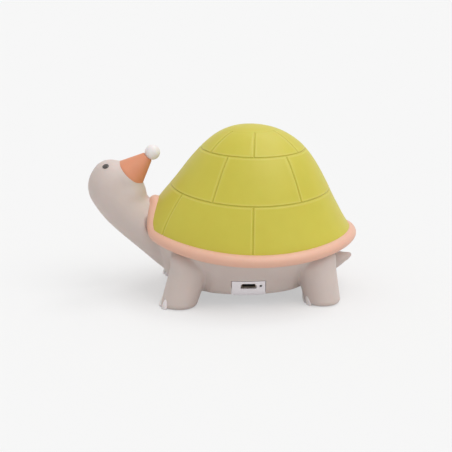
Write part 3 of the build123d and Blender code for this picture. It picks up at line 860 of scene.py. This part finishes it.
                # Where neither groove is cut, the higher lip shows
                pick = max if max(level, upright) > self.groove_edge else min
                share = pick(level, upright)
                points.append(self.skin(angle, height, self.groove_depth * share))
                shares.append(share)
        faces: Faces = []
        for i in range(len(columns)):
            a, b = i * rows, (i + 1) % len(columns) * rows
            faces += [(a + k, b + k, b + k + 1, a + k + 1) for k in range(rows - 1)]
        faces.append(tuple(i * rows + rows - 1 for i in range(len(columns))))
        piece = smooth_object("scute_dome", points, faces)
        # The groove share is also the mask that the dome's finish paints its groove shade and lip highlight
        # through
        mark = piece.data.attributes.new("groove", "FLOAT", "POINT")
        mark.data.foreach_set("value", shares)
        wall = piece.modifiers.new("wall", "SOLIDIFY")
        wall.thickness = self.wall * MM
        wall.offset = -1.0
        return piece


@dataclass
class Leg:
    """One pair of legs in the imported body, and how far the cast ones stand from them."""

    sole: Pair
    hip: Pair
    sole_shift: Pair
    hip_shift: Pair
    hip_height: float = 20.0
    radius: float = 9.5
    hold_reach: Pair = (11.0, 14.0)
    hold_height: Pair = (20.0, 27.0)

    def centre(self, side: int, height: float) -> Vector:
        """Return the middle of the cast leg at a height.

        Args:
            side: -1 for the turtle's left, 1 for its right.
            height: Height above the floor.

        Returns:
            Point in millimetres.
        """
        share = height / self.hip_height
        packed = Vector(self.sole).lerp(Vector(self.hip), share)
        x, y = packed + Vector(self.sole_shift).lerp(Vector(self.hip_shift), share)
        return Vector((x, side * y, height))

    def shifted(self, spot: Vector) -> Vector:
        """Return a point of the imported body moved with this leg.

        Args:
            spot: Point in millimetres.

        Returns:
            The moved point, or the same one away from the leg.
        """
        share = min(max(spot.z / self.hip_height, 0.0), 1.0)
        away = (Vector((spot.x, abs(spot.y))) - Vector(self.sole).lerp(Vector(self.hip), share)).length
        hold = (1 - smooth_share(*self.hold_reach, away)) * (1 - smooth_share(*self.hold_height, spot.z))
        if not hold:
            return spot
        dx, dy = Vector(self.sole_shift).lerp(Vector(self.hip_shift), share)
        return spot + Vector((dx, dy * math.copysign(1.0, spot.y), 0.0)) * hold


FRONT_LEG = Leg((-21.6, 31.0), (-18.0, 25.6), (-1.1, -1.8), (1.8, 0.0))
REAR_LEG = Leg((51.6, 24.6), (49.9, 21.6), (0.7, -1.8), (-1.4, 0.0))


@dataclass
class TurtleBody:
    """The cast body: torso, legs, neck, head and tail in one soft moulding, cut out for the port panel."""

    name: str = "soft_body"
    voxel_mm: float = 0.6
    passes: int = 12
    head_passes: int = 80
    head_shift: Triple = (0.5, 0.0, -1.4)
    # Heights, and places along the turtle, between which that shift sets in
    head_rise: Pair = (46.0, 60.0)
    head_front: Pair = (-38.0, -50.0)
    # Centres and half sizes of what fills out the head, its crown, the nape and the neck's root
    eggs: tuple[tuple[Triple, Triple], ...] = (
        ((-58.3, 0.0, 56.4), (12.1, 12.0, 13.5)),
        ((-51.1, 0.0, 60.0), (9.8, 9.9, 10.0)),
        ((-50.0, 0.0, 52.6), (10.6, 11.2, 10.4)),
        ((-33.0, 0.0, 39.0), (9.8, 13.6, 11.4)),
    )
    notch: Triple = (-34.5, 0.0, 50.0)
    notch_reach: float = 9.5
    notch_push: Triple = (-0.2, 0.0, -1.4)
    # Place along the turtle, height and radius of each ring
    tail_rows: tuple[Triple, ...] = (
        (48.0, 14.6, 7.2),
        (56.0, 14.9, 5.6),
        (60.0, 16.0, 4.6),
        (62.0, 16.7, 3.9),
        (64.0, 17.5, 3.1),
        (66.0, 18.5, 2.1),
        (67.9, 19.2, 1.4),
        (68.9, 19.5, 0.5),
    )
    sole_softness: float = 0.25
    sole_fade: Pair = (1.0, 6.0)
    relax_factor: float = 0.5
    relax_rise: Pair = (38.0, 48.0)
    relax_front: Pair = (-36.0, -42.0)
    sharp_deg: float = 40.0
    panel_half_width: float = 8.85
    panel_reach: float = 49.0
    panel_low: float = 5.7
    panel_high: float = 15.45

    def cast(self, spot: Vector) -> Vector:
        """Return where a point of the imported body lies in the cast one.

        Args:
            spot: Point in millimetres.

        Returns:
            The moved point.
        """
        hold = smooth_share(*self.head_rise, spot.z) * smooth_share(*self.head_front, spot.x)
        sunk = 1 - smooth_share(0.0, self.notch_reach, (spot - Vector(self.notch)).length)
        moved = spot + Vector(self.head_shift) * hold + Vector(self.notch_push) * sunk
        return REAR_LEG.shifted(FRONT_LEG.shifted(moved))

    def clay(self, nodes: Nodes, block: Piece) -> Piece:
        """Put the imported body, a filling for the panel, the head's and nape's fullness and the tail together.

        Args:
            nodes: The frame's nodes by name.
            block: Block of the panel's opening.

        Returns:
            An object of overlapping closed forms.
        """
        filler = placed(self.name + ".filler", nodes["module_base"].data.copy())
        cut_by(filler, block, Cut.KEEP)
        forms = bmesh.new()
        forms.from_mesh(nodes["body_shell"].data)
        for corner in forms.verts:
            corner.co = self.cast(corner.co / MM) * MM
        forms.from_mesh(evaluated_mesh(filler))
        tail = [ring(Vector((x, 0, z)), Vector((0, r, 0)), Vector((0, 0, r))) for x, z, r in self.tail_rows]
        eggs = [egg(Vector(centre), Vector(radii)) for centre, radii in self.eggs]
        for rings in (tail, *eggs):
            extra = smooth_object(self.name + ".form", *stacked(rings))
            forms.from_mesh(extra.data)
            discard([extra])
        discard([filler])
        return placed(self.name + ".clay", mesh_of(self.name + ".clay", forms))

    def build(self, nodes: Nodes) -> Piece:
        """Merge the forms into one skin, relax its corners and cut the panel's opening.

        Args:
            nodes: The frame's nodes by name.

        Returns:
            The body's object.
        """
        opening = rectangle(self.panel_half_width, self.panel_low, self.panel_high)
        block = prism(self.name + ".cutter", opening, (-self.panel_reach, 0.0))
        clay = self.clay(nodes, block)
        even = clay.modifiers.new("even", "REMESH")
        even.mode = "VOXEL"
        even.voxel_size = self.voxel_mm * MM
        rough = placed(self.name + ".rough", evaluated_mesh(clay))
        # The soles' edges are crisper than the rest, so they are relaxed less. The head runs into the neck
        # with no line between them, so it is relaxed more.
        soft = rough.vertex_groups.new(name="soft")
        head = rough.vertex_groups.new(name="head")
        for corner in rough.data.vertices:
            spot = corner.co / MM
            lifted = smooth_share(*self.sole_fade, spot.z)
            soft.add([corner.index], self.sole_softness + (1 - self.sole_softness) * lifted, "REPLACE")
            hold = smooth_share(*self.relax_rise, spot.z) * smooth_share(*self.relax_front, spot.x)
            if hold:
                head.add([corner.index], hold, "REPLACE")
        for group, passes in ((soft, self.passes), (head, self.head_passes)):
            relax = rough.modifiers.new(group.name, "SMOOTH")
            relax.factor = self.relax_factor
            relax.iterations = passes
            relax.vertex_group = group.name
        cut_by(rough, block, Cut.REMOVE)
        mesh = evaluated_mesh(rough)
        mesh.name = self.name
        mesh.shade_smooth()
        mesh.set_sharp_from_angle(angle=math.radians(self.sharp_deg))
        discard([clay, rough, block])
        return placed(self.name, mesh)


@dataclass
class PartyHat:
    """A cone that wraps the back of the head, with a bobble on its tip."""

    seat: Triple = (-47.8, 0.0, 63.5)
    pitch_deg: float = 44.2
    base_radius: float = 8.6
    tip_radius: float = 2.9
    length: float = 12.7
    nape_depth: float = 0.3
    side_depth: float = 1.3
    edge_round: float = 0.5
    skirt_flare: float = 0.06
    corners: int = 64
    steps: int = 14
    # Shares of the cone's height and of its edge's rounding, below and above its plain run
    low_edge: tuple[Pair, ...] = ((0.06, 4.0), (0.0, 2.0), (0.0, 1.0), (0.01, 0.3), (0.03, 0.0))
    top_edge: tuple[Pair, ...] = ((0.98, 0.0), (1.0, 1.0), (1.01, 2.0))
    bobble_radius: float = 4.0
    bobble_set: float = 3.4
    bobble_span_deg: Pair = (-62.0, 88.0)
    bobble_steps: int = 32
    waist_depth: float = 0.012
    waist_spread: float = 0.05

    def axes(self) -> tuple[Vector, Vector, Vector]:
        """Return the hat's own directions.

        Returns:
            The run towards its tip, the way to the nape and the way to the side.
        """
        lift = math.radians(self.pitch_deg)
        run = Vector((math.cos(lift), 0.0, math.sin(lift)))
        return run, Vector((math.sin(lift), 0.0, -math.cos(lift))), Vector((0.0, 1.0, 0.0))

    def loop(self, share: float, inset: float) -> list[Vector]:
        """Return a ring of the cone, whose edge reaches lower at the sides of the head than at the nape.

        Args:
            share: Share of the way from the lower edge to the tip.
            inset: Distance to draw the ring in.

        Returns:
            The ring's points in order.
        """
        run, nape, side = self.axes()
        slope = (self.base_radius - self.tip_radius) / self.length
        points = []
        for turn in spaced(0.0, 2 * math.pi, self.corners)[:-1]:
            low = -self.nape_depth - (self.side_depth - self.nape_depth) * math.sin(turn) ** 2
            along = low + (self.length - low) * share
            radius = self.base_radius - slope * max(along, 0.0) + self.skirt_flare * max(-along, 0.0) - inset
            out = nape * math.cos(turn) + side * math.sin(turn)
            points.append(Vector(self.seat) + run * along + out * radius)
        return points

    def cone(self) -> Piece:
        """Build the cone with rounded edges.

        Returns:
            The cone's object.
        """
        plain = [(share, 0.0) for share in spaced(0.0, 1.0, self.steps)[1:-1]]
        rows = (*self.low_edge, *plain, *self.top_edge)
        rings = [self.loop(share, inset * self.edge_round) for share, inset in rows]
        return smooth_object("wrapped_hat", *stacked(rings))

    def bobble(self) -> Piece:
        """Build the bobble, flattened where it sits on the tip and faintly waisted at its mould line.

        Returns:
            The bobble's object.
        """
        run, nape, side = self.axes()
        centre = Vector(self.seat) + run * (self.length + self.bobble_set)
        rings = []
        for turn in map(math.radians, spaced(*self.bobble_span_deg, self.bobble_steps)):
            waist = self.waist_depth * math.exp(-((turn / self.waist_spread) ** 2))
            radius = self.bobble_radius * math.cos(turn) * (1 - waist)
            middle = centre + run * (self.bobble_radius * math.sin(turn))
            rings.append(ring(middle, nape * radius, side * radius))
        return smooth_object("hat_bobble", *stacked(rings))


@dataclass
class BeadEye:
    """An oval bead pressed into the side of the head."""

    name: str
    side: int
    seat: Triple = (-60.4, 5.65, 68.5)
    facing: Triple = (-0.2, 0.53, 0.824)
    half_length: float = 1.75
    half_height: float = 1.65
    rise: float = 0.45
    sunk: float = 0.7
    span_deg: Pair = (-40.0, 88.0)
    steps: int = 13

    def build(self) -> Piece:
        """Build the bead with its edge below the skin.

        Returns:
            The bead's object.
        """
        out = Vector((self.facing[0], self.side * self.facing[1], self.facing[2])).normalized()
        along = (Vector((1.0, 0.0, 0.0)) - out * out.x).normalized()
        up = out.cross(along)
        seat = Vector((self.seat[0], self.side * self.seat[1], self.seat[2]))
        rings = []
        for turn in map(math.radians, spaced(*self.span_deg, self.steps)):
            lift = (self.rise if turn > 0 else self.sunk) * math.sin(turn)
            wide, tall = self.half_length * math.cos(turn), self.half_height * math.cos(turn)
            rings.append(ring(seat + out * lift, along * wide, up * tall))
        return smooth_object(self.name, *stacked(rings))


@dataclass
class ToeClaws:
    """Three pads round the front of each foot: broad at the sole, rounded at the top."""

    bearings_deg: tuple[float, ...] = (-36.0, 0.0, 36.0)
    half_width: float = 2.1
    low: float = 0.3
    high: float = 5.3
    proud: float = 0.6
    sunk: float = 0.84
    edge_sunk: float = 0.35
    taper: Pair = (2.6, 0.6)
    tip_width: float = 0.02
    foot_crown: float = 0.7
    foot_share: float = 0.25
    across_steps: int = 12
    upright_steps: int = 14

    def pad(self, leg: Leg, side: int, bearing: float) -> tuple[list[Vector], Faces]:
        """Return one pad.

        Args:
            leg: Leg that carries it.
            side: -1 for the turtle's left, 1 for its right.
            bearing: Degrees from straight ahead.

        Returns:
            Points and faces of a closed pad.
        """
        swell, blunt = self.taper
        rings = []
        for share in spaced(0.0, 1.0, self.upright_steps):
            middle = leg.centre(side, self.low + (self.high - self.low) * share)
            half = self.half_width * max(1 - share**swell, 0.0) ** blunt + self.tip_width
            full = self.foot_crown + (1 - self.foot_crown) * min(share / self.foot_share, 1)
            full *= math.sqrt(max(1 - share**3, 0.0))
            front, back = [], []
            for v in spaced(-1.0, 1.0, self.across_steps):
                turn = math.radians(bearing) + v * half / leg.radius
                out = Vector((-math.cos(turn), -math.sin(turn), 0.0))
                crown = full * math.sqrt(max(1 - v * v, 0.0))
                rise = (self.proud + self.edge_sunk) * crown - self.edge_sunk
                front.append(middle + out * (leg.radius + rise))
                back.append(middle + out * (leg.radius - self.sunk))
            rings.append(front + back[::-1])
        return stacked(rings)

    def build(self) -> Piece:
        """Build all the pads as one piece.

        Returns:
            The pads' object.
        """
        points: list[Vector] = []
        faces: Faces = []
        for leg in (FRONT_LEG, REAR_LEG):
            for side in (-1, 1):
                for bearing in self.bearings_deg:
                    more, skin = self.pad(leg, side, bearing)
                    faces += [tuple(k + len(points) for k in face) for face in skin]
                    points += more
        return smooth_object("claw_pads", points, faces)


@dataclass
class PortPanel:
    """The module's tray, whose port is opened square below and chamfered above, as its plug is."""

    half_width: float = 4.05
    half_height: float = 1.5
    chamfer: float = 0.9
    reach: Pair = (-49.0, -18.75)
    lamp_offset: float = 6.3
    lamp_radius: float = 0.72
    lamp_corners: int = 32
    weld: float = 0.002
    edge_reach: float = 0.3
    gusset_set: float = 0.1
    gusset_depth: float = 1.6
    sharp_deg: float = 10.0

    def build(self, nodes: Nodes) -> Piece:
        """Cut the port's square and the lamp's hole, and set a gusset in each upper corner.

        Args:
            nodes: The frame's nodes by name.

        Returns:
            The tray's object.
        """
        left, right = PORT_X - self.half_width, PORT_X + self.half_width
        low, high = PORT_Z - self.half_height, PORT_Z + self.half_height
        square = prism("port.cutter", rectangle(self.half_width, low, high), self.reach)
        middle = Vector((PORT_X + self.lamp_offset, PORT_Z))
        across, up = Vector((self.lamp_radius, 0)), Vector((0, self.lamp_radius))
        outline = [(p.x, p.y) for p in ring(middle, across, up, self.lamp_corners)]
        hole = prism("lamp.cutter", outline, self.reach)
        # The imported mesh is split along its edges, so it is welded before it is cut
        packed = nodes["module_base"].data
        forms = bmesh.new()
        forms.from_mesh(packed)
        bmesh.ops.remove_doubles(forms, verts=forms.verts, dist=self.weld * MM)
        tray = placed("tray.solid", mesh_of("tray.solid", forms))
        for cutter in (square, hole):
            cut_by(tray, cutter, Cut.REMOVE)
        forms = bmesh.new()
        forms.from_mesh(evaluated_mesh(tray))
        spots = [corner.co / MM for corner in packed.vertices]
        sides = [p for p in spots if abs(abs(p.x - PORT_X) - self.half_width) < self.edge_reach]
        outer = min(p.y for p in sides if low < p.z < high) + self.gusset_set
        for corner, way in ((left, 1), (right, -1)):
            outline = [(corner, high), (corner, high - self.chamfer), (corner + way * self.chamfer, high)]
            gusset = prism("gusset", outline, (outer, outer + self.gusset_depth))
            forms.from_mesh(gusset.data)
            discard([gusset])
        mesh = mesh_of("port_panel", forms)
        mesh.shade_smooth()
        mesh.set_sharp_from_angle(angle=math.radians(self.sharp_deg))
        discard([tray, square, hole])
        return placed("port_panel", mesh)


@dataclass
class PlugSocket:
    """The folded steel shell behind the port: a cup with its upper corners cut off."""

    half_width: float = 3.75
    half_height: float = 1.22
    chamfer: float = 0.75
    sheet: float = 0.28
    sharp_deg: float = 30.0

    def loop(self, y: float, inset: float) -> list[Vector]:
        """Return the shell's outline at a depth.

        Args:
            y: Place across the turtle.
            inset: Distance to draw it in.

        Returns:
            Six corners in order.
        """
        wide, tall = self.half_width - inset, self.half_height - inset
        half = [(wide, -tall), (wide, tall - self.chamfer), (wide - self.chamfer, tall)]
        corners = half + [(-a, b) for a, b in reversed(half)]
        return [Vector((PORT_X + a, y, PORT_Z + b)) for a, b in corners]

    def build(self) -> Piece:
        """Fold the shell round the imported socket's own depth.

        Returns:
            The socket's object.
        """
        low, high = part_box("usb_socket")
        face, back = low[1] / MM, high[1] / MM
        rings = [self.loop(back, 0.0), self.loop(face, 0.0)]
        rings += [self.loop(face, self.sheet), self.loop(back - self.sheet, self.sheet)]
        piece = smooth_object("socket_shell", *stacked(rings))
        piece.data.set_sharp_from_angle(angle=math.radians(self.sharp_deg))
        return piece


@dataclass(frozen=True)
class SoftLamp:
    """An even light from far away, tilted from overhead towards the front and the right."""

    name: str
    strength: float
    spread_deg: float
    tilt_deg: Pair

    def build(self) -> None:
        """Add the lamp to the scene."""
        data = bpy.data.lights.new(self.name, "SUN")
        data.energy = self.strength
        data.angle = math.radians(self.spread_deg)
        placed(self.name, data).rotation_euler = (*map(math.radians, self.tilt_deg), 0.0)


@dataclass
class Studio:
    """Pale floor, soft light and the camera of the photograph."""

    target_mm: Triple = (0.0, 0.0, 40.0)
    distance_mm: float = 900.0
    elevation_deg: float = 15.0
    pixels_per_mm: float = 1.9
    target_pixel: Pair = (222.0, 216.5)
    floor_half_m: float = 6.0
    # A broad key light from the right, and a smaller one for glints
    lamps: tuple[SoftLamp, ...] = (
        SoftLamp("key", 1.15, 50.0, (18.0, 24.0)),
        SoftLamp("spark", 0.4, 20.0, (-22.0, 18.0)),
    )
    horizon_strength: float = 0.5
    zenith_strength: float = 0.86
    sky: str = "#FFFFFF"
    backdrop: str = "#F7F7F7"

    def camera(self) -> None:
        """Set the camera at the photograph's angle and framing."""
        data = bpy.data.cameras.new("camera")
        data.sensor_width = 36.0
        data.lens = data.sensor_width * self.distance_mm * self.pixels_per_mm / PHOTO_PIXELS
        data.shift_x = (PHOTO_PIXELS / 2 - self.target_pixel[0]) / PHOTO_PIXELS
        data.shift_y = (self.target_pixel[1] - PHOTO_PIXELS / 2) / PHOTO_PIXELS
        data.clip_end = 100.0
        lift = math.radians(self.elevation_deg)
        camera = placed("camera", data)
        back = Vector((0.0, -math.cos(lift), math.sin(lift))) * self.distance_mm
        camera.location = (Vector(self.target_mm) + back) * MM
        camera.rotation_euler = (math.pi / 2 - lift, 0.0, 0.0)
        bpy.context.scene.camera = camera

    def floor(self) -> None:
        """Lay the floor: matt paper, a shade under white."""
        half = self.floor_half_m / MM
        corners = [Vector((x * half, y * half, 0.0)) for x, y in ((-1, -1), (1, -1), (1, 1), (-1, 1))]
        piece = smooth_object("studio_floor", corners, [(0, 1, 2, 3)])
        # Uncoated paper: even, with no sheen and hardly any mottle
        paper = StudioPaper("matt_studio_paper", "#E6E6E6", "#E5E5E5", 0.9, mottle_mm=40.0, relief_mm=0.001)
        piece.data.materials.append(paper.material())

    def room(self) -> None:
        """Add a room that is brighter overhead, behind a plain pale backdrop."""
        world = bpy.data.worlds.new("room")
        world.use_nodes = True
        tree = world.node_tree
        tree.nodes.clear()
        way = add_node(tree, "TexCoord", {}).outputs["Generated"]
        height = add_node(tree, "SeparateXYZ", {"Vector": way}).outputs["Z"]
        levels = {"Value": height, "To Min": self.horizon_strength, "To Max": self.zenith_strength}
        level = add_node(tree, "MapRange", levels).outputs["Result"]
        sky, backdrop = [
            add_node(tree, "Background", {"Color": linear(colour), "Strength": strength}).outputs[0]
            for colour, strength in ((self.sky, level), (self.backdrop, 1.0))
        ]
        mixed = add_node(tree, "MixShader", {0: seen_rays(tree), 1: sky, 2: backdrop}).outputs[0]
        add_node(tree, "OutputWorld", {"Surface": mixed})
        bpy.context.scene.world = world

    def build(self) -> None:
        """Build the whole studio."""
        self.camera()
        self.floor()
        for lamp in self.lamps:
            lamp.build()
        self.room()
        bpy.context.scene.view_settings.view_transform = "Standard"


def main() -> None:
    """Build the pieces in order, dress the frame and report each piece."""
    logging.basicConfig(level=logging.INFO, format="%(message)s")
    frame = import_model()
    nodes: Nodes = frame["nodes"]
    slots = {part["node"]: part["material_slot"] for part in frame["record"]["subparts"]}
    wardrobe = Wardrobe()
    rim = ShellRim()
    hat = PartyHat()
    pieces: list[tuple[str, Callable[[], Piece]]] = [
        ("shell_rim", rim.build),
        ("shell_dome", ShellDome(rim).build),
        ("body_shell", lambda: TurtleBody().build(nodes)),
        ("hat_cone", hat.cone),
        ("hat_pompom", hat.bobble),
        ("left_eye", BeadEye("left_bead", -1).build),
        ("right_eye", BeadEye("right_bead", 1).build),
        ("toe_claws", ToeClaws().build),
        ("module_base", lambda: PortPanel().build(nodes)),
        ("usb_socket", PlugSocket().build),
    ]
    for node, build in pieces:
        piece = build()
        wardrobe.dress(piece, slots[node])
        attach(piece, Body.ROOT.value)
        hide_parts(node)
        LOG.info("%s stands for %s with %d faces", piece.name, node, len(piece.data.polygons))
    for node, slot in slots.items():
        wardrobe.dress(nodes[node], slot)
        LOG.info("%s is dressed in %s", node, slot)
    Studio().build()


if __name__ == "__main__":
    main()
